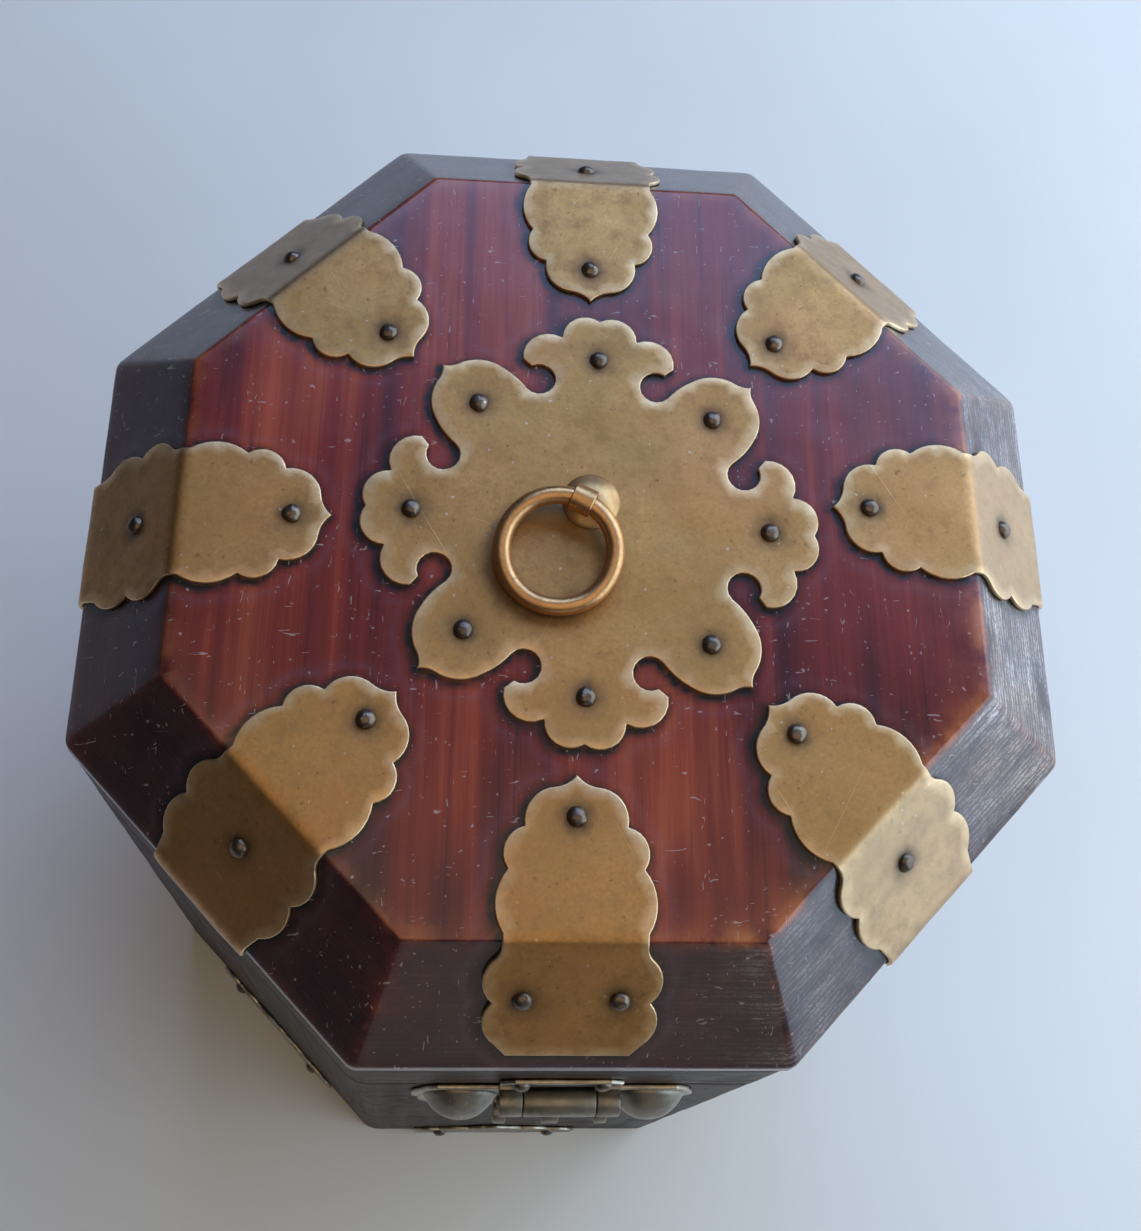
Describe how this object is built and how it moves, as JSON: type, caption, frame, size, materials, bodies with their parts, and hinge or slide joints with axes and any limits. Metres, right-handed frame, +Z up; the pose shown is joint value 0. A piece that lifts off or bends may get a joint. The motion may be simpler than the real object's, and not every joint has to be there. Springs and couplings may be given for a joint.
{
  "type": "octagonal brass-mounted wooden box",
  "caption": "Octagonal wooden box with a bevelled hinged lid, nailed sheet-brass mounts, a ring pull on a scalloped plate and a hinged front hasp.",
  "frame": {"origin": "middle of the octagonal plan, on the table under the box", "axes": "+Z up, the hasp at the front faces -Y, the lid hinges are at +Y, +X to the right seen from the front"},
  "size_m": [0.2252, 0.2338, 0.2797],
  "materials": {
    "lid_wood": "red-brown stained hardwood with dark streaks, satin varnish, worn edges",
    "rim_wood": "dark stained hardwood, polished",
    "box_wood": "dark stained hardwood, polished",
    "lining_cloth": "plain woven cloth, matt",
    "sheet_brass": "aged sheet brass, satin, darkened round the nails and edges",
    "nail_brass": "dark bronze, domed heads",
    "ring_brass": "coppery brass, worn bright on the outside"
  },
  "bodies": {
    "body": {"wall_front": "box_wood", "wall_front_right": "box_wood", "wall_right": "box_wood", "wall_back_right": "box_wood", "wall_back": "box_wood", "wall_back_left": "box_wood", "wall_left": "box_wood", "wall_front_left": "box_wood", "bottom_board": "box_wood", "floor_lining": "lining_cloth", "base_mount_front": "sheet_brass", "base_mount_front_right": "sheet_brass", "base_mount_right": "sheet_brass", "base_mount_back_right": "sheet_brass", "base_mount_back": "sheet_brass", "base_mount_back_left": "sheet_brass", "base_mount_left": "sheet_brass", "base_mount_front_left": "sheet_brass", "body_nails": "nail_brass", "lock_plate": "sheet_brass", "lock_eyes": "sheet_brass", "hinge_body_leaves": "sheet_brass", "hinge_pins": "nail_brass"},
    "lid": {"lid_panel": "lid_wood", "lid_rail_front": "rim_wood", "lid_rail_front_right": "rim_wood", "lid_rail_right": "rim_wood", "lid_rail_back_right": "rim_wood", "lid_rail_back": "rim_wood", "lid_rail_back_left": "rim_wood", "lid_rail_left": "rim_wood", "lid_rail_front_left": "rim_wood", "lid_strap_front": "sheet_brass", "lid_strap_front_right": "sheet_brass", "lid_strap_right": "sheet_brass", "lid_strap_back_right": "sheet_brass", "lid_strap_back": "sheet_brass", "lid_strap_back_left": "sheet_brass", "lid_strap_left": "sheet_brass", "lid_strap_front_left": "sheet_brass", "lid_nails": "nail_brass", "medallion": "sheet_brass", "ring_boss": "sheet_brass", "ring_eye": "ring_brass", "hinge_lid_leaves": "sheet_brass", "hasp_leaf": "sheet_brass", "hasp_pin": "nail_brass"},
    "ring": {"pull_ring": "ring_brass"},
    "hasp": {"hasp": "sheet_brass"}
  },
  "joints": [
    {"name": "lid_hinge", "type": "hinge", "parent": "body", "child": "lid", "pos_m": [0, 0.11365, 0.2068], "axis": [-1, 0, 0], "range_deg": [0, 110]},
    {"name": "hasp_hinge", "type": "hinge", "parent": "lid", "child": "hasp", "pos_m": [0, -0.11365, 0.208], "axis": [-1, 0, 0], "range_deg": [0, 170]},
    {"name": "ring_hinge", "type": "hinge", "parent": "lid", "child": "ring", "pos_m": [-0.0014, 0.0029, 0.2766], "axis": [-0.9063, 0.4226, 0], "range_deg": [0, 160]}
  ]
}
